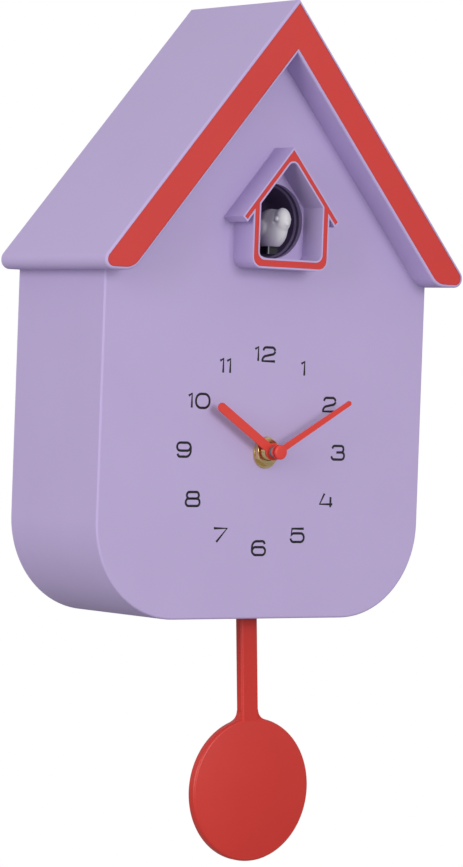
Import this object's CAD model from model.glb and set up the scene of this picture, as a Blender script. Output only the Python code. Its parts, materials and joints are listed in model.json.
import json
from math import cos, hypot, pi, radians, sin, tan

import bmesh
import bpy
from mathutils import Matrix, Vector


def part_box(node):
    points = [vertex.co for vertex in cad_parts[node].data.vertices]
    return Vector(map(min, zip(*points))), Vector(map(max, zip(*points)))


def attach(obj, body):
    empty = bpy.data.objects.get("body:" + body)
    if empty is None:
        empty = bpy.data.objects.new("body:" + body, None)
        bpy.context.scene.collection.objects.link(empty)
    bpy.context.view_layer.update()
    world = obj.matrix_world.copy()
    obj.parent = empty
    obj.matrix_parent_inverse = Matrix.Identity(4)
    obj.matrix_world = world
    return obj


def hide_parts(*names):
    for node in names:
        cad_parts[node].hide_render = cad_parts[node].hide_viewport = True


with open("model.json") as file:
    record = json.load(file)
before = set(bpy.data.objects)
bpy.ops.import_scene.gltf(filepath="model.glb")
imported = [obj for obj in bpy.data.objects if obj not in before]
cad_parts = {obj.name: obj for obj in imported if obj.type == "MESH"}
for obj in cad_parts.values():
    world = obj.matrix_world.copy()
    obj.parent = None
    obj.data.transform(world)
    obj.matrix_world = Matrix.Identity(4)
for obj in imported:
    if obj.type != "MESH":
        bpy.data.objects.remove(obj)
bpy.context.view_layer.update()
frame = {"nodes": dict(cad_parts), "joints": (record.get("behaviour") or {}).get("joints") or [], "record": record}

mm = 0.001
joints = {joint["name"]: joint for joint in frame["joints"]}
shaft = Vector(joints["minute_hand_turn"]["pos_m"])      # on the face of the front panel
pivot = Vector(joints["pendulum_swing"]["pos_m"])
bodyLow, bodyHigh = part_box("front_housing")
roofLow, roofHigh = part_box("roof_shell")
panelY = bodyLow.y
slope = 1.179                                            # both roofs rise this much per unit across
slopeLength = hypot(1, slope)
tiny = 1e-6
loose = 1e-5
past = 0.01                                              # how far a cutting block runs past what it cuts


# ---- camera, floor and light ----

camera = {"place": (-1.0626, -1.4508, -0.1153), "turn": (89.112, -2.033, -37.017), "lens": 156.05}
studio = {"floorDrop": 0.62, "floorSize": 60, "ambient": 0.52}
lamps = [
    {"name": "keyLight", "place": (0, -2.2, 0.3), "size": 0.9, "power": 18.5},
    {"name": "leftFill", "place": (-2.0, -0.5, 0.3), "size": 1.2, "power": 20},
]


def setCamera():
    bpy.ops.object.camera_add(location=camera["place"], rotation=[radians(a) for a in camera["turn"]])
    view = bpy.context.object
    view.name = "photoView"
    view.data.lens = camera["lens"]
    view.data.sensor_width = 36
    view.data.clip_start = 0.05
    view.data.clip_end = 100
    bpy.context.scene.camera = view


def setLights():
    for lamp in lamps:
        bpy.ops.object.light_add(type="AREA", location=lamp["place"])
        light = bpy.context.object
        light.name = lamp["name"]
        light.data.size = lamp["size"]
        light.data.energy = lamp["power"]
        aim = Vector((0, panelY, shaft.z)) - light.location
        light.rotation_euler = aim.to_track_quat("-Z", "Y").to_euler()


# ---- shader maths ----

def tone(red, green, blue):
    # a screen colour, 0 to 255, as the linear values that the shaders take
    parts = [part / 255 for part in (red, green, blue)]
    parts = [part / 12.92 if part <= 0.04045 else ((part + 0.055) / 1.055) ** 2.4 for part in parts]
    return (*parts, 1)


class Flow:
    # one output of a material's nodes; sums on it add Math nodes
    def __init__(self, tree, socket=None):
        self.tree = tree
        self.socket = socket

    def add(self, kind, settings=None, sockets=None, out=0):
        node = self.tree.nodes.new("ShaderNode" + kind)
        for name, value in (settings or {}).items():
            if name == "stops":
                ramp = node.color_ramp
                for place, level in value:
                    stop = ramp.elements.new(place)
                    stop.color = (level, level, level, 1)
                ramp.elements.remove(ramp.elements[0])
                ramp.elements.remove(ramp.elements[-1])
            else:
                setattr(node, name, value)
        for name, value in (sockets or {}).items():
            if isinstance(value, Flow):
                self.tree.links.new(value.socket, node.inputs[name])
            else:
                node.inputs[name].default_value = value
        return Flow(self.tree, node.outputs[out])

    def maths(self, operation, first, second):
        return self.add("Math", {"operation": operation}, {0: first, 1: second})

    def __add__(self, other):
        return self.maths("ADD", self, other)

    def __radd__(self, other):
        return self.maths("ADD", other, self)

    def __sub__(self, other):
        return self.maths("SUBTRACT", self, other)

    def __rsub__(self, other):
        return self.maths("SUBTRACT", other, self)

    def __mul__(self, other):
        return self.maths("MULTIPLY", self, other)

    def __rmul__(self, other):
        return self.maths("MULTIPLY", other, self)

    def blend(self, low, high):
        # colour low where this value is 0 and colour high where it is 1
        return self.add("Mix", {"data_type": "RGBA"}, {0: self, 6: low, 7: high}, out=2)


def newMaterial(name):
    material = bpy.data.materials.new(name)
    material.use_nodes = True
    return material, material.node_tree.nodes["Principled BSDF"], Flow(material.node_tree)


def feed(shader, flow, socket):
    flow.tree.links.new(flow.socket, shader.inputs[socket])


def moulded(name, light, dark, roughness, grain=0.28, depth=0.02, sheen=0.5):
    # moulded plastic: fine spark-eroded grain, faint clouds in the colour and gloss
    material, shader, start = newMaterial(name)
    place = start.add("TexCoord", out="Object")
    clouds = start.add("TexNoise", sockets={"Vector": place, "Scale": 28, "Detail": 3, "Roughness": 0.6})
    fine = start.add("TexNoise", sockets={"Vector": place, "Scale": 1 / (grain * mm), "Detail": 2})
    specks = start.add("TexNoise", sockets={"Vector": place, "Scale": 420, "Detail": 1})
    dust = specks.add("ValToRGB", {"stops": [(0.0, 0.0), (0.70, 0.0), (0.78, 1.0)]}, {0: specks})
    mix = clouds * 0.75 + fine * 0.25
    feed(shader, (mix - dust * 0.10).blend(dark, light), "Base Color")
    feed(shader, clouds * 0.10 + fine * 0.06 + (roughness - 0.08), "Roughness")
    bump = start.add("Bump", sockets={"Height": fine, "Strength": 0.35, "Distance": depth * mm})
    feed(shader, bump, "Normal")
    shader.inputs["Specular IOR Level"].default_value = sheen
    return material


def metal(name, light, dark, roughness, ringsFrom=None, scale=900, depth=0.01):
    # turned or drawn metal: fine lines, round the axis through ringsFrom or along the piece
    material, shader, start = newMaterial(name)
    place = start.add("TexCoord", out="Object")
    if ringsFrom is not None:
        centred = start.add("Mapping", sockets={"Vector": place, "Location": [-part for part in ringsFrom]})
        lines = start.add("TexWave", {"wave_type": "RINGS", "rings_direction": "Y"},
                          {"Vector": centred, "Scale": scale, "Distortion": 1.5, "Detail": 2})
    else:
        stretched = start.add("Mapping", sockets={"Vector": place, "Scale": (1, 0.08, 1)})
        lines = start.add("TexNoise", sockets={"Vector": stretched, "Scale": scale, "Detail": 3})
    clouds = start.add("TexNoise", sockets={"Vector": place, "Scale": 220, "Detail": 2})
    feed(shader, clouds.blend(dark, light), "Base Color")
    feed(shader, lines * 0.10 + clouds * 0.10 + (roughness - 0.08), "Roughness")
    bump = start.add("Bump", sockets={"Height": lines, "Strength": 0.25, "Distance": depth * mm})
    feed(shader, bump, "Normal")
    shader.inputs["Metallic"].default_value = 1.0
    return material


def striped(name, light, dark, scale, direction, roughness, metallic=0.0):
    # close parallel bands, for windings and printed sleeves
    material, shader, start = newMaterial(name)
    place = start.add("TexCoord", out="Object")
    bands = start.add("TexWave", {"bands_direction": direction},
                      {"Vector": place, "Scale": scale, "Distortion": 0.4})
    feed(shader, bands.blend(dark, light), "Base Color")
    feed(shader, bands * 0.12 + (roughness - 0.05), "Roughness")
    bump = start.add("Bump", sockets={"Height": bands, "Strength": 0.6, "Distance": 0.04 * mm})
    feed(shader, bump, "Normal")
    shader.inputs["Metallic"].default_value = metallic
    return material


def boardGreen(name):
    # solder mask over copper tracks, as blocky lines in the colour
    material, shader, start = newMaterial(name)
    place = start.add("TexCoord", out="Object")
    cells = start.add("TexBrick", sockets={"Vector": place, "Scale": 120, "Mortar Size": 0.06}, out=1)
    grain = start.add("TexNoise", sockets={"Vector": place, "Scale": 900})
    feed(shader, cells.blend(tone(20, 78, 44), tone(46, 120, 66)), "Base Color")
    feed(shader, grain * 0.15 + 0.3, "Roughness")
    return material


lilac = moulded("lilacPlastic", tone(190, 173, 217), tone(184, 166, 211), 0.56)
backLilac = moulded("backLilac", tone(186, 170, 213), tone(178, 160, 205), 0.62, grain=0.5, depth=0.04)
trimRed = moulded("trimRed", tone(213, 58, 52), tone(205, 50, 45), 0.50)
swingRed = moulded("pendulumRed", tone(209, 52, 42), tone(200, 44, 36), 0.38, grain=0.35, depth=0.012)
handRed = moulded("handRed", tone(226, 66, 56), tone(218, 58, 48), 0.40, grain=0.18, depth=0.008)
chamberDark = moulded("chamberDark", tone(104, 90, 126), tone(92, 79, 113), 0.55)
birdWhite = moulded("birdWhite", tone(218, 215, 220), tone(208, 205, 211), 0.48, grain=0.2, depth=0.01)
blackPlastic = moulded("blackPlastic", tone(34, 34, 37), tone(24, 24, 27), 0.42)
greyPlastic = moulded("greyPlastic", tone(138, 136, 142), tone(124, 122, 128), 0.45)
inkBlack = moulded("dialInk", tone(20, 18, 26), tone(14, 13, 20), 0.35, grain=0.15, depth=0.004)
softRubber = moulded("washerRubber", tone(38, 38, 38), tone(26, 26, 26), 0.75, grain=0.4)
conePaper = moulded("conePaper", tone(52, 50, 48), tone(36, 35, 34), 0.85, grain=0.6, depth=0.08)
brightBrass = metal("brightBrass", tone(238, 214, 160), tone(222, 194, 138), 0.2, ringsFrom=shaft)
nickelSteel = metal("nickelSteel", tone(196, 196, 200), tone(170, 170, 176), 0.32)
darkNickel = metal("darkNickel", tone(120, 120, 126), tone(96, 96, 102), 0.40)
coilCopper = striped("coilCopper", tone(190, 96, 52), tone(110, 46, 22), 1400, "X", 0.35, 0.7)
cellSleeve = striped("cellSleeve", tone(58, 62, 70), tone(48, 51, 58), 60, "X", 0.30)
boardMask = boardGreen("boardMask")

slotFinish = {
    "lilac_plastic": backLilac, "red_plastic": trimRed, "red_enamel": handRed, "dark_plastic": chamberDark,
    "white_plastic": birdWhite, "black_plastic": blackPlastic, "grey_plastic": greyPlastic,
    "brass": brightBrass, "steel": nickelSteel, "rubber": softRubber, "magnet": darkNickel,
    "copper_coil": coilCopper, "circuit_green": boardMask, "speaker_paper": conePaper,
    "battery_jacket": cellSleeve,
}


def wear(piece, material):
    piece.data.materials.clear()
    piece.data.materials.append(material)


def dressCadNodes():
    for row in frame["record"]["subparts"]:
        wear(frame["nodes"][row["node"]], slotFinish[row["material_slot"]])
    wear(frame["nodes"]["bird_pin"], darkNickel)


# ---- modelling by hand ----

def take(piece):
    bpy.ops.object.select_all(action="DESELECT")
    piece.select_set(True)
    bpy.context.view_layer.objects.active = piece


def settle(piece):
    take(piece)
    bpy.ops.object.transform_apply(location=True, rotation=True, scale=True)
    return piece


def block(name, low, high):
    bpy.ops.object.select_all(action="DESELECT")
    low = Vector(low)
    high = Vector(high)
    bpy.ops.mesh.primitive_cube_add(size=1, location=(low + high) / 2, scale=high - low)
    bpy.context.object.name = name
    return settle(bpy.context.object)


def bar(name, centre, radius, near, far, sides=96):
    # a cylinder along Y between two depths
    bpy.ops.object.select_all(action="DESELECT")
    place = (centre[0], (near + far) / 2, centre[1])
    bpy.ops.mesh.primitive_cylinder_add(vertices=sides, radius=radius, depth=far - near, location=place,
                                        rotation=(pi / 2, 0, 0))
    bpy.context.object.name = name
    return settle(bpy.context.object)


def choose(piece, kind, test):
    # opens the piece in edit mode with the verts, edges or faces that pass the test selected
    take(piece)
    bpy.ops.object.mode_set(mode="EDIT")
    bpy.ops.mesh.select_mode(type=kind)
    bpy.ops.mesh.select_all(action="DESELECT")
    mesh = bmesh.from_edit_mesh(piece.data)
    for part in {"VERT": mesh.verts, "EDGE": mesh.edges, "FACE": mesh.faces}[kind]:
        if test(part):
            part.select_set(True)
    bmesh.update_edit_mesh(piece.data)


def leave():
    bpy.ops.object.mode_set(mode="OBJECT")


def middle(edge):
    return (edge.verts[0].co + edge.verts[1].co) / 2


def alongY(edge):
    across = edge.verts[1].co - edge.verts[0].co
    return abs(across.x) < tiny and abs(across.z) < tiny


def slice(piece, point, normal):
    # cuts away what lies on the side that the normal points to
    choose(piece, "FACE", lambda face: True)
    bpy.ops.mesh.bisect(plane_co=point, plane_no=Vector(normal).normalized(), use_fill=True, clear_outer=True)
    leave()


def roundEdges(piece, test, radius, steps, turn=90):
    # true arcs; turn is the angle in degrees between the two faces' normals
    half = radians(turn) / 2
    share = cos(half) / (1 + cos(half))
    choose(piece, "EDGE", test)
    bpy.ops.mesh.bevel(offset=radius * tan(half), segments=steps, affect="EDGES", clamp_overlap=False,
                       profile=((1 + share) / 2) ** 2)
    leave()


def applyModifier(piece, kind, **settings):
    take(piece)
    modifier = piece.modifiers.new(kind.lower(), kind)
    for name, value in settings.items():
        setattr(modifier, name, value)
    bpy.ops.object.modifier_apply(modifier=modifier.name)


def combine(piece, tool, operation="DIFFERENCE"):
    applyModifier(piece, "BOOLEAN", operation=operation, object=tool, solver="EXACT")
    bpy.data.objects.remove(tool)


def polish(piece, edge=0.0, steps=2, angle=32):
    # softens what is still sharp, then shades flats flat and rounds round
    if edge:
        applyModifier(piece, "BEVEL", width=edge, segments=steps, limit_method="ANGLE",
                      angle_limit=radians(40), use_clamp_overlap=True)
    take(piece)
    bpy.ops.object.shade_smooth_by_angle(angle=radians(angle))
    applyModifier(piece, "WEIGHTED_NORMAL", keep_sharp=True)
    return piece


def turned(name, centre, profile, sides=96, hollow=False):
    # a turned part: a ring is extruded and scaled along the profile of (radius, depth) points
    bpy.ops.object.select_all(action="DESELECT")
    radius, depth = profile[0]
    bpy.ops.mesh.primitive_circle_add(vertices=sides, radius=radius, location=(centre[0], depth, centre[1]),
                                      rotation=(pi / 2, 0, 0), fill_type="NOTHING" if hollow else "NGON")
    piece = bpy.context.object
    piece.name = name
    settle(piece)
    points = profile[1:] + ([profile[0]] if hollow else [])
    choose(piece, "EDGE" if hollow else "FACE", lambda part: True)
    for nextRadius, nextDepth in points:
        bpy.ops.mesh.extrude_region_move(TRANSFORM_OT_translate={"value": (0, nextDepth - depth, 0)})
        ratio = nextRadius / radius
        bpy.ops.transform.resize(value=(ratio, 1, ratio), center_override=(centre[0], nextDepth, centre[1]))
        radius, depth = nextRadius, nextDepth
    bpy.ops.mesh.select_all(action="SELECT")
    bpy.ops.mesh.remove_doubles(threshold=tiny)
    bpy.ops.mesh.normals_make_consistent(inside=False)
    leave()
    return piece


def place(piece, body, slot, material, *nodes):
    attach(piece, body)
    if nodes:
        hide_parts(*nodes)
    wear(piece, material)
    return piece


# ---- roof ----

roof = {"apex": roofHigh.z, "eave": roofLow.z, "rise": 24.9 * mm, "tip": 4.4 * mm, "heel": 10.2 * mm,
        "lip": 1.2 * mm, "trimDepth": 2.6 * mm, "frontRound": 1.0 * mm, "ridgeRound": 0.7 * mm,
        "gap": 0.06 * mm, "tipTurn": 130.3, "heelTurn": 49.7}


def chevron(name, inset, near, far):
    # right half of the gable cut from a block, its eave rounded, then mirrored to the left
    apex = roof["apex"] - inset * slopeLength
    inner = roof["apex"] - roof["rise"] + inset * slopeLength
    low = roof["eave"] + inset
    piece = block(name, (0, near, low), (0.12, far, apex + past))
    slice(piece, (0, 0, apex), (slope, 0, 1))
    slice(piece, (0, 0, inner), (-slope, 0, -1))
    heelX = (inner - low) / slope
    tipX = (apex - low) / slope
    roundEdges(piece, lambda edge: alongY(edge) and abs(middle(edge).x - tipX) < loose
               and abs(middle(edge).z - low) < loose, roof["tip"] - inset, 14, roof["tipTurn"])
    roundEdges(piece, lambda edge: alongY(edge) and abs(middle(edge).x - heelX) < loose
               and abs(middle(edge).z - low) < loose, roof["heel"] - inset, 10, roof["heelTurn"])
    choose(piece, "FACE", lambda face: all(abs(vert.co.x) < tiny for vert in face.verts))
    bpy.ops.mesh.delete(type="FACE")
    leave()
    applyModifier(piece, "MIRROR", use_axis=(True, False, False), merge_threshold=loose)
    for depth in (near, far):
        choose(piece, "FACE", lambda face: all(abs(vert.co.y - depth) < tiny for vert in face.verts))
        bpy.ops.mesh.dissolve_faces()
        leave()
    return piece


def buildRoof():
    front = roofLow.y
    shell = chevron("roofShell", 0, front, roofHigh.y)
    roundEdges(shell, lambda edge: all(abs(vert.co.y - front) < tiny for vert in edge.verts),
               roof["frontRound"], 4)
    roundEdges(shell, lambda edge: alongY(edge) and abs(middle(edge).x) < tiny
               and middle(edge).z > roof["apex"] - 0.003, roof["ridgeRound"], 3)
    recess = chevron("recess", roof["lip"], front - 0.001, front + roof["trimDepth"])
    combine(shell, recess)
    polish(shell)
    place(shell, "casing", "lilac_plastic", lilac, "roof_shell")
    trim = chevron("roofTrim", roof["lip"] + roof["gap"], front + 0.1 * mm, front + roof["trimDepth"])
    roundEdges(trim, lambda edge: all(vert.co.y < front + 0.15 * mm for vert in edge.verts), 0.25 * mm, 2)
    polish(trim)
    place(trim, "casing", "red_plastic", trimRed, "roof_trim")


# ---- body ----

body = {"bottomRound": 44.5 * mm, "wall": 2.5 * mm, "frontRound": 1.0 * mm, "slotHalf": 19 * mm,
        "holeRadius": 17.4 * mm, "holeHeight": 106.8 * mm, "shaftHole": 4.1 * mm,
        "slotFront": 14 * mm, "slotBack": 22 * mm}


def buildBody():
    shell = block("bodyShell", bodyLow, (bodyHigh.x, bodyHigh.y, roof["apex"] - 5 * mm))
    for side in (-1, 1):
        slice(shell, (0, 0, roof["apex"] - 5 * mm), (side * slope, 0, 1))
    roundEdges(shell, lambda edge: alongY(edge) and middle(edge).z < bodyLow.z + loose,
               body["bottomRound"], 28)
    roundEdges(shell, lambda edge: all(abs(vert.co.y - panelY) < tiny for vert in edge.verts),
               body["frontRound"], 4)
    choose(shell, "FACE", lambda face: all(abs(vert.co.y - bodyHigh.y) < tiny for vert in face.verts))
    bpy.ops.mesh.inset(thickness=body["wall"])
    depth = body["wall"] - (bodyHigh.y - bodyLow.y)
    bpy.ops.mesh.extrude_region_move(TRANSFORM_OT_translate={"value": (0, depth, 0)})
    leave()
    combine(shell, chevron("roofShape", 0, roofLow.y, roofHigh.y + past))
    holeZ = shaft.z + body["holeHeight"]
    combine(shell, bar("birdHole", (0, holeZ), body["holeRadius"], panelY - past, panelY + past, 128))
    combine(shell, bar("shaftHole", (0, shaft.z), body["shaftHole"], panelY - past, panelY + past, 64))
    low = (-body["slotHalf"], panelY + body["slotFront"], bodyLow.z - past)
    high = (body["slotHalf"], panelY + body["slotBack"], bodyLow.z + past)
    combine(shell, block("pendulumSlot", low, high))
    polish(shell)
    place(shell, "casing", "lilac_plastic", lilac, "front_housing")


# ---- bird house ----

house = {"apex": 140.6 * mm, "inner": 135.0 * mm, "tipX": 28.2 * mm, "half": 22 * mm, "bottom": 84.3 * mm,
         "cornerRound": 5 * mm, "tunnelHalf": 18 * mm, "floor": 88.9 * mm, "tunnelRound": 3 * mm,
         "lip": 0.8 * mm, "sunk": 1.5 * mm, "trimDepth": 1.6 * mm, "gap": 0.05 * mm}
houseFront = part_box("birdhouse_frame")[0].y


def houseSolid(name, inset, near, far):
    apex = shaft.z + house["apex"] - inset * slopeLength
    inner = shaft.z + house["inner"] + inset * slopeLength
    halfWidth = house["half"] - inset
    gable = block(name, (-0.035, near, shaft.z + 0.1), (0.035, far, apex))
    for side in (-1, 1):
        slice(gable, (0, 0, apex), (side * slope, 0, 1))
        tipZ = shaft.z + house["apex"] - slope * house["tipX"]
        tip = Vector((side * house["tipX"], 0, tipZ)) - inset * Vector((side, 0, -slope)) / slopeLength
        slice(gable, tip, (side, 0, -slope))
    under = block("under", (-0.04, near - past, shaft.z), (0.04, far + past, inner))
    for side in (-1, 1):
        slice(under, (0, 0, inner), (side * slope, 0, 1))
    combine(gable, under)
    wallTop = apex - house["sunk"]
    walls = block("walls", (-halfWidth, near, shaft.z + house["bottom"] + inset), (halfWidth, far, wallTop))
    for side in (-1, 1):
        slice(walls, (0, 0, wallTop), (side * slope, 0, 1))
    roundEdges(walls, lambda edge: alongY(edge)
               and middle(edge).z < shaft.z + house["bottom"] + inset + loose,
               house["cornerRound"] - inset, 8)
    combine(gable, walls, "UNION")
    return gable


def houseTunnel(outset, near, far):
    side = house["tunnelHalf"] + outset
    apex = shaft.z + house["inner"] + outset * slopeLength
    corner = house["tunnelRound"] + outset
    tunnel = block("tunnel", (-side, near, shaft.z + house["floor"] - outset), (side, far, apex))
    for way in (-1, 1):
        slice(tunnel, (0, 0, apex), (way * slope, 0, 1))
    floor = shaft.z + house["floor"] - outset
    roundEdges(tunnel, lambda edge: alongY(edge) and middle(edge).z < floor + loose, corner, 8)
    roundEdges(tunnel, lambda edge: alongY(edge) and middle(edge).z > apex - loose, corner, 8, 99.4)
    return tunnel


def houseBand(name, gap, near, far):
    band = houseSolid(name, house["lip"] + gap, near, far)
    combine(band, houseTunnel(house["lip"] + gap, near - past, far + past))
    return band


def buildBirdHouse():
    # the walls behind the trim, then a thin lip outside it and another inside it
    front = houseFront
    step = front + house["trimDepth"]
    join = 0.05 * mm
    shell = houseSolid("birdHouse", 0, step, panelY)
    combine(shell, houseTunnel(0, step - past, panelY + past))
    outer = houseSolid("outerLip", 0, front, step + join)
    combine(outer, houseSolid("outerCut", house["lip"], front - past, step + past))
    inner = houseTunnel(house["lip"], front, step + join)
    combine(inner, houseTunnel(0, front - past, step + past))
    combine(shell, outer, "UNION")
    combine(shell, inner, "UNION")
    choose(shell, "FACE", lambda face: True)
    bpy.ops.mesh.bisect(plane_co=(0, 0, 0), plane_no=(1, 0, 0))
    leave()
    polish(shell)
    place(shell, "casing", "lilac_plastic", lilac, "birdhouse_frame")
    trim = houseBand("birdHouseTrim", house["gap"], front + 0.05 * mm, step)
    polish(trim, edge=0.15 * mm, steps=2)
    place(trim, "casing", "red_plastic", trimRed, "birdhouse_trim")


# ---- dark chamber behind the round hole ----

chamber = {"collar": 23 * mm, "collarBack": 4.5 * mm, "radius": 16.5 * mm, "wall": 2 * mm,
           "domeFrom": 20 * mm, "wayHalf": 3.4 * mm, "wayBelow": 0.6 * mm, "wayAbove": 0.4 * mm}


def buildChamber():
    holeZ = shaft.z + body["holeHeight"]
    front = panelY + body["wall"]
    step = panelY + chamber["collarBack"]
    dome = panelY + chamber["domeFrom"]
    outer = chamber["radius"] + chamber["wall"]
    rings = 14
    arcOut = [(outer * cos(pi / 2 * k / rings), dome + outer * sin(pi / 2 * k / rings)) for k in range(rings)]
    arcIn = [(chamber["radius"] * cos(pi / 2 * k / rings), dome + chamber["radius"] * sin(pi / 2 * k / rings))
             for k in range(rings - 1, -1, -1)]
    profile = [(chamber["collar"], front), (chamber["collar"], step), (outer, step), *arcOut,
               (0.4 * mm, dome + outer), (0.4 * mm, dome + chamber["radius"]), *arcIn,
               (chamber["radius"], step + 0.5 * mm), (chamber["radius"] + 0.5 * mm, step),
               (body["holeRadius"] - 0.2 * mm, step), (body["holeRadius"], step - 0.2 * mm),
               (body["holeRadius"], front)]
    cup = turned("birdChamber", (0, holeZ), profile, sides=96, hollow=True)
    low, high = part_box("bird_sled")
    combine(cup, block("sledWay", (-chamber["wayHalf"], panelY + 12 * mm, low.z - chamber["wayBelow"]),
                       (chamber["wayHalf"], panelY + 60 * mm, high.z + chamber["wayAbove"])))
    polish(cup)
    place(cup, "casing", "dark_plastic", chamberDark, "bird_chamber")


# ---- bird ----

bird = {"voxel": 0.27 * mm, "smooth": 5, "blend": 40, "eye": 1.1, "ring": 1.75, "groove": 0.42}
# egg shapes: across, behind the panel and above the shaft in mm, then half sizes
birdEggs = {
    "birdForm": ((0, 1.0, 103), (5.5, 10.5, 9.5)),
    "head": ((0, -7.3, 107.1), (3.9, 4.2, 5.8)),
    "neck": ((0, -3.2, 104.6), (4.8, 6.4, 7.6)),
    "beak": ((0, -11.0, 105), (1.2, 1.2, 0.8)),
    "wingLeft": ((-5.3, 3.5, 103.5), (1.3, 5.5, 3.6)),
    "wingRight": ((5.3, 3.5, 103.5), (1.3, 5.5, 3.6)),
}
eyeBack, eyeUp = -7.7, 107.6


def egg(name, middlePoint, size):
    bpy.ops.object.select_all(action="DESELECT")
    bpy.ops.mesh.primitive_uv_sphere_add(segments=48, ring_count=32, radius=1, location=middlePoint,
                                         scale=size)
    bpy.context.object.name = name
    return settle(bpy.context.object)


def birdPoint(x, back, up):
    return Vector((x * mm, panelY + back * mm, shaft.z + up * mm))


def buildBird():
    eggs = [egg(name, birdPoint(*spot), Vector(size) * mm) for name, (spot, size) in birdEggs.items()]
    form = eggs[0]
    for part in eggs[1:]:
        combine(form, part, "UNION")
    applyModifier(form, "REMESH", mode="VOXEL", voxel_size=bird["voxel"])
    applyModifier(form, "SMOOTH", factor=0.5, iterations=bird["blend"])
    for side in (-1, 1):
        bpy.ops.object.select_all(action="DESELECT")
        bpy.ops.mesh.primitive_torus_add(major_radius=bird["ring"] * mm, minor_radius=bird["groove"] * mm,
                                         location=birdPoint(side * 3.75, eyeBack, eyeUp),
                                         rotation=(0, pi / 2, 0), major_segments=48, minor_segments=16)
        combine(form, settle(bpy.context.object))
    applyModifier(form, "REMESH", mode="VOXEL", voxel_size=bird["voxel"])
    applyModifier(form, "SMOOTH", factor=0.5, iterations=bird["smooth"])
    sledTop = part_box("bird_sled")[1].z
    combine(form, block("underBird", (-0.02, panelY - 0.03, sledTop - 0.02), (0.02, panelY + 0.03, sledTop)))
    take(form)
    bpy.ops.object.shade_smooth_by_angle(angle=radians(50))
    place(form, "bird_slide", "white_plastic", birdWhite, "bird")
    for side, name in ((-1, "eyeLeft"), (1, "eyeRight")):
        eye = egg(name, birdPoint(side * 3.5, eyeBack, eyeUp), Vector((1, 1, 1)) * bird["eye"] * mm)
        take(eye)
        bpy.ops.object.shade_smooth()
        place(eye, "bird_slide", "white_plastic", birdWhite)


# ---- brass stack and hands ----

stack = {"washer": 6.9 * mm, "washerBore": 5.1 * mm, "washerShift": 0.3 * mm, "washerDrop": 1.1 * mm,
         "bush": 3.9 * mm, "nutFlat": 12.1 * mm, "pitch": 0.75 * mm, "tube": 2.58 * mm,
         "flange": 6.5 * mm, "flangeThick": 0.8 * mm, "mouth": 3.3 * mm, "crown": 7.1 * mm}


def buildBrass():
    centre = (shaft.x, shaft.z)
    low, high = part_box("brass_washer")
    soft = 0.15 * mm
    hung = (shaft.x + stack["washerShift"], shaft.z - stack["washerDrop"])
    washer = turned("brassWasher", hung, [
        (stack["washerBore"], high.y), (stack["washer"], high.y), (stack["washer"], low.y + soft),
        (stack["washer"] - soft, low.y), (stack["washerBore"], low.y)], hollow=True)
    polish(washer)
    place(washer, "casing", "brass", brightBrass, "brass_washer")
    low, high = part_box("hex_nut")
    bpy.ops.object.select_all(action="DESELECT")
    bpy.ops.mesh.primitive_cylinder_add(vertices=6, radius=stack["nutFlat"] / 3 ** 0.5, depth=high.y - low.y,
                                        location=(centre[0], (low.y + high.y) / 2, centre[1]),
                                        rotation=(pi / 2, 0, 0))
    nut = settle(bpy.context.object)
    nut.name = "hexNut"
    crown = turned("crown", centre, [(stack["nutFlat"] / 2 - 0.25 * mm, low.y),
                                     (stack["crown"], low.y + 0.8 * mm),
                                     (stack["crown"], high.y - 0.3 * mm), (6.6 * mm, high.y)])
    combine(nut, crown, "INTERSECT")
    bore = turned("bore", centre, [(stack["bush"] + 0.5 * mm, low.y - 0.001 * mm),
                                   (stack["bush"], low.y + 0.5 * mm), (stack["bush"], high.y + 1 * mm)])
    combine(nut, bore)
    polish(nut, edge=0.08 * mm, steps=2)
    place(nut, "casing", "brass", brightBrass, "hex_nut")
    low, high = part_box("threaded_bush")
    flangeFront = high.y - stack["flangeThick"]
    profile = [(stack["tube"], high.y), (stack["flange"], high.y), (stack["flange"], flangeFront),
               (stack["bush"], flangeFront)]
    turns = 12
    for turn in range(turns, -1, -1):
        crest = low.y + 0.45 * mm + turn * stack["pitch"]
        profile += [(stack["bush"], crest + 0.1 * mm), (stack["bush"] - 0.4 * mm, crest - 0.25 * mm)]
    profile = [point for point in profile if point[1] >= low.y + 0.1 * mm]
    profile += [(stack["mouth"], low.y), (stack["tube"], low.y)]
    bush = turned("threadedBush", centre, profile, hollow=True)
    polish(bush, angle=20)
    place(bush, "casing", "brass", brightBrass, "threaded_bush")


tipShare = 0.97          # of the half-width, so that the two arcs at a tip never meet
hands = {
    "hour": {"angle": 303.2, "length": 38.4 * mm, "hub": 4.0 * mm, "bore": 2.5 * mm, "root": 2.15 * mm,
             "tip": 2.15 * mm, "node": "hour_hand", "body": "hour_hand"},
    "minute": {"angle": 60.2, "length": 48.3 * mm, "hub": 3.4 * mm, "bore": 1.2 * mm, "root": 1.5 * mm,
               "tip": 1.15 * mm, "node": "minute_hand", "body": "minute_hand"},
}


def buildHand(name, hand):
    # modelled pointing up from the world origin, then turned to its hour and moved to the shaft
    low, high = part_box(hand["node"])
    near = low.y - shaft.y
    far = high.y - shaft.y
    blade = block(name, (-hand["root"], near, 0), (hand["root"], far, hand["length"]))
    choose(blade, "VERT", lambda vert: vert.co.z > hand["length"] / 2)
    ratio = hand["tip"] / hand["root"]
    bpy.ops.transform.resize(value=(ratio, 1, 1), center_override=(0, 0, hand["length"]))
    leave()
    roundEdges(blade, lambda edge: alongY(edge) and middle(edge).z > hand["length"] / 2,
               hand["tip"] * tipShare, 10)
    combine(blade, bar("hub", (0, 0), hand["hub"], near, far, 64), "UNION")
    combine(blade, bar("bore", (0, 0), hand["bore"], near - past, far + past, 48))
    polish(blade, edge=0.12 * mm, steps=2)
    blade.rotation_euler = (0, radians(hand["angle"]), 0)
    blade.location = shaft
    settle(blade)
    place(blade, hand["body"], "red_enamel", handRed, hand["node"])


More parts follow.
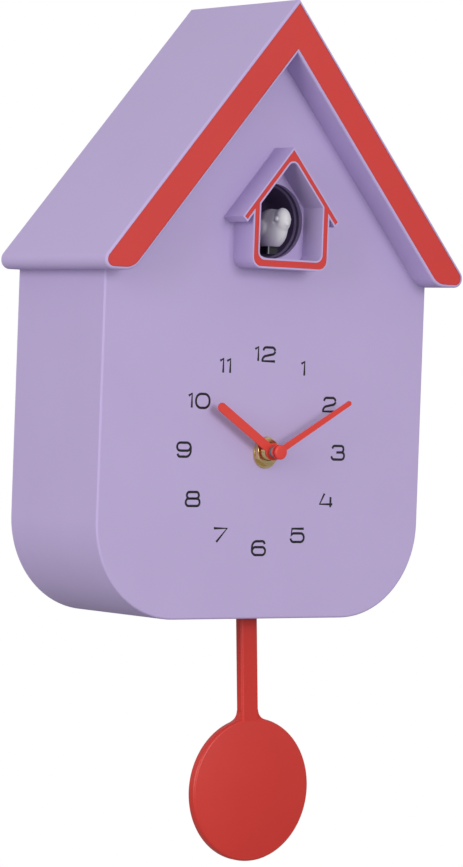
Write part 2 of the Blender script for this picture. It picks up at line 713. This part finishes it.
cap = {"face": 3.4 * mm, "core": 0.3 * mm, "stem": 2.1 * mm, "soft": 0.7 * mm, "thick": 1.3 * mm}


def buildCap():
    centre = (shaft.x, shaft.z)
    low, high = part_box("centre_cap")
    face, core, stem = cap["face"], cap["core"], cap["stem"]
    neck = low.y + cap["thick"]
    soft = [(face - cap["soft"] * (1 - sin(pi / 2 * k / 5)), low.y + cap["soft"] * (1 - cos(pi / 2 * k / 5)))
            for k in range(6)]
    button = turned("centreCap", centre, [(core, low.y), *soft, (face, neck - 0.15 * mm),
                                          (face - 0.25 * mm, neck), (stem, neck), (stem, high.y),
                                          (core, high.y)])
    polish(button, angle=40)
    place(button, "minute_hand", "red_enamel", handRed, "centre_cap")


# ---- pendulum ----

swing = {"lean": -3.34, "rodHalf": 4.9 * mm, "drop": 195.8 * mm, "disc": 33.68 * mm, "near": -2.5 * mm,
         "far": 2.5 * mm, "fillet": 5 * mm, "edge": 1.3 * mm, "shy": 0.02 * mm, "lap": -0.1 * mm,
         "rodTop": -81 * mm,
         "tongueTop": -65 * mm, "dome": 2.0 * mm, "eye": -71 * mm, "eyeRadius": 1.2 * mm}


def buildPendulum():
    # modelled hanging plumb from the world origin, then leaned and moved to its pivot
    near, far = swing["near"], swing["far"]
    disc = bar("pendulumBob", (0, -swing["drop"]), swing["disc"], near, far, 160)
    roundEdges(disc, lambda edge: not alongY(edge), swing["edge"], 6)
    rod = block("rod", (-swing["rodHalf"], near + swing["shy"], -swing["drop"]),
                (swing["rodHalf"], far - swing["shy"], swing["tongueTop"]))
    roundEdges(rod, lambda edge: abs((edge.verts[0].co - edge.verts[1].co).z) > swing["disc"],
               swing["edge"], 6)
    combine(disc, rod, "UNION")
    # a gusset on each side fills the neck, its hollow tangent to the rod and to the disc
    hubX = swing["rodHalf"] + swing["fillet"]
    reach = swing["disc"] + swing["fillet"]
    hubZ = (reach ** 2 - hubX ** 2) ** 0.5 - swing["drop"]
    tangentX = hubX * swing["disc"] / reach
    for side in (-1, 1):
        ends = sorted((side * swing["rodHalf"] * 0.5, side * tangentX))
        gusset = block("gusset", (ends[0], near + swing["edge"] / 2, hubZ - swing["fillet"] - 3 * mm),
                       (ends[1], far - swing["edge"] / 2, hubZ))
        combine(gusset, bar("hollow", (side * hubX, hubZ), swing["fillet"], near - 0.001, far + 0.001, 64))
        combine(disc, gusset, "UNION")
    rim = swing["disc"] - swing["edge"] - 0.08 * mm
    curve = (rim ** 2 + swing["dome"] ** 2) / (2 * swing["dome"])
    rings = [rim * k / 14 for k in range(1, 15)]
    top = near - swing["dome"]
    profile = [(0.4 * mm, top)]
    profile += [(ring, top + curve - (curve ** 2 - ring ** 2) ** 0.5 - 0.01 * mm) for ring in rings]
    profile += [(rim, near + 0.5 * mm), (0.4 * mm, near + 0.5 * mm)]
    combine(disc, turned("dome", (0, -swing["drop"]), profile, 160), "UNION")
    combine(disc, block("lap", (-past, near - 0.001, swing["rodTop"]),
                        (past, swing["lap"], swing["tongueTop"] + 0.001)))
    combine(disc, bar("eye", (0, swing["eye"]), swing["eyeRadius"], -past, past, 32))
    polish(disc, angle=25)
    disc.rotation_euler = (0, radians(swing["lean"]), 0)
    disc.location = pivot
    settle(disc)
    place(disc, "pendulum", "red_plastic", swingRed, "pendulum")


# ---- dial numerals ----

dial = {"radius": 45 * mm, "stroke": 0.58 * mm, "shift": -1.4 * mm, "scale": mm}
hook = 1.5
strokes = {
    "0": [("closed", [(-3.85, 3.2, 2.9), (3.85, 3.2, 2.9), (3.85, -3.2, 2.9), (-3.85, -3.2, 2.9)])],
    "1": [("open", [(-1.15, 2.2, 0), (0.75, 3.2, 0), (0.75, -3.2, 0)])],
    "2": [("open", [(-3.4, 1.7, 0), (-2.8, 3.2, hook), (3.5, 3.2, 1.7), (3.5, 0.3, 1.5), (-3.8, -1.2, 2.2),
                    (-3.8, -3.2, 0), (3.6, -3.2, 0)])],
    "3": [("open", [(-3.4, 1.9, 0), (-2.8, 3.2, 1.3), (3.3, 3.2, 1.4), (3.3, 0.15, 1.4), (-0.9, 0.15, 0)]),
          ("open", [(2.0, 0.15, 0), (3.8, 0.15, 1.5), (3.8, -3.2, 1.6), (-3.1, -3.2, 1.5), (-3.9, -1.7, 0)])],
    "4": [("open", [(-1.1, 3.2, 0), (-3.8, -1.8, 0), (3.75, -1.8, 0)]),
          ("open", [(2.6, 1.6, 0), (2.6, -3.2, 0)])],
    "5": [("open", [(3.7, 3.1, 0), (-3.2, 3.1, 0), (-3.7, -0.1, 0), (-2.6, 0.9, 1.2), (3.9, 0.9, 1.9),
                    (3.9, -3.1, 1.9), (-3.2, -3.1, 1.6), (-4.0, -1.5, 0)])],
    "6": [("open", [(3.5, 1.9, 0), (2.9, 3.2, 1.3), (-3.9, 3.2, 2.6), (-3.9, -3.2, 2.3), (3.85, -3.2, 1.8),
                    (3.85, 0.45, 1.8), (-2.9, 0.45, 1.6), (-3.9, -1.2, 0)])],
    "7": [("open", [(-3.8, 3.1, 0), (3.8, 3.1, 0), (-2.2, -3.2, 0)])],
    "8": [("closed", [(-3.4, 3.2, 1.4), (3.4, 3.2, 1.4), (3.4, 0.2, 1.4), (-3.4, 0.2, 1.4)]),
          ("closed", [(-3.95, 0.2, 1.65), (3.95, 0.2, 1.65), (3.95, -3.2, 1.65), (-3.95, -3.2, 1.65)])],
}
strokes["9"] = [("open", [(-x, -z, r) for x, z, r in strokes["6"][0][1]])]
layout = {10: [("1", -3.2), ("0", 3.75)], 11: [("1", -2.4), ("1", 1.6)], 12: [("1", -4.9), ("2", 2.1)]}


def softened(corners, closed):
    # a path with its corners rounded to their radii, as points close enough to look curved
    path = []
    for index, (x, z, radius) in enumerate(corners):
        here = Vector((x, z))
        ends = index in (0, len(corners) - 1) and not closed
        if radius == 0 or ends:
            path.append(here)
            continue
        before = (Vector(corners[index - 1][:2]) - here).normalized()
        after = (Vector(corners[(index + 1) % len(corners)][:2]) - here).normalized()
        half = before.angle(after) / 2
        start = here + before * radius / tan(half)
        stop = here + after * radius / tan(half)
        hub = here + (before + after).normalized() * radius / sin(half)
        for step in range(9):
            part = (start - hub).lerp(stop - hub, step / 8).normalized() * radius
            path.append(hub + part)
    return path


def buildNumerals():
    for hour in range(1, 13):
        curve = bpy.data.curves.new("numeral" + str(hour), "CURVE")
        curve.dimensions = "3D"
        curve.bevel_depth = dial["stroke"] / dial["scale"]
        curve.bevel_resolution = 2
        curve.use_fill_caps = True
        for digit, shift in layout.get(hour, [(str(hour), 0)]):
            for kind, corners in strokes[digit]:
                points = softened(corners, kind == "closed")
                line = curve.splines.new("POLY")
                line.points.add(len(points) - 1)
                line.use_cyclic_u = kind == "closed"
                for spot, (x, z) in zip(line.points, points):
                    spot.co = (x + shift, 0, z, 1)
        numeral = bpy.data.objects.new(curve.name, curve)
        bpy.context.scene.collection.objects.link(numeral)
        take(numeral)
        bpy.ops.object.convert(target="MESH")
        numeral = bpy.context.object
        turn = radians(30 * hour)
        numeral.scale = (dial["scale"], dial["scale"] * 0.06, dial["scale"])
        numeral.location = (shaft.x + dial["shift"] + dial["radius"] * sin(turn), panelY,
                            shaft.z + dial["radius"] * cos(turn))
        settle(numeral)
        take(numeral)
        bpy.ops.object.shade_smooth()
        place(numeral, "casing", "black_plastic", inkBlack)


# ---- floor ----

def buildFloor():
    # white to the camera, dark to the light that would bounce up from it
    bpy.ops.object.select_all(action="DESELECT")
    bpy.ops.mesh.primitive_plane_add(size=studio["floorSize"], location=(0, 0, -studio["floorDrop"]))
    floor = bpy.context.object
    floor.name = "studioFloor"
    material, shader, start = newMaterial("floorPaper")
    place = start.add("TexCoord", out="Object")
    grain = start.add("TexNoise", sockets={"Vector": place, "Scale": 3, "Detail": 4})
    feed(shader, grain.blend((0.38, 0.38, 0.39, 1), (0.42, 0.42, 0.43, 1)), "Base Color")
    shader.inputs["Roughness"].default_value = 0.9
    white = start.add("Emission", sockets={"Color": (1, 1, 1, 1), "Strength": 1.0})
    seen = start.add("LightPath", out="Is Camera Ray")
    dull = Flow(material.node_tree, shader.outputs["BSDF"])
    both = start.add("MixShader", sockets={0: seen, 1: dull, 2: white})
    feed(material.node_tree.nodes["Material Output"], both, "Surface")
    wear(floor, material)


def setWorld():
    world = bpy.data.worlds.new("studioWorld")
    bpy.context.scene.world = world
    world.use_nodes = True
    tree = world.node_tree
    flow = Flow(tree)
    soft = flow.add("Background", sockets={"Color": (1, 1, 1, 1), "Strength": studio["ambient"]})
    white = flow.add("Background", sockets={"Color": (1, 1, 1, 1), "Strength": 1.0})
    seen = flow.add("LightPath", out="Is Camera Ray")
    both = flow.add("MixShader", sockets={0: seen, 1: soft, 2: white})
    feed(tree.nodes["World Output"], both, "Surface")
    bpy.context.scene.view_settings.view_transform = "Standard"


setCamera()
setLights()
setWorld()
buildFloor()
dressCadNodes()
print("studio and finishes ready")
buildRoof()
print("roof done")
buildBody()
print("body done")
buildBirdHouse()
print("bird house done")
buildChamber()
buildBird()
print("bird done")
buildBrass()
for name, hand in hands.items():
    buildHand(name + "Hand", hand)
buildCap()
print("hands done")
buildPendulum()
print("pendulum done")
buildNumerals()
print("numerals done")
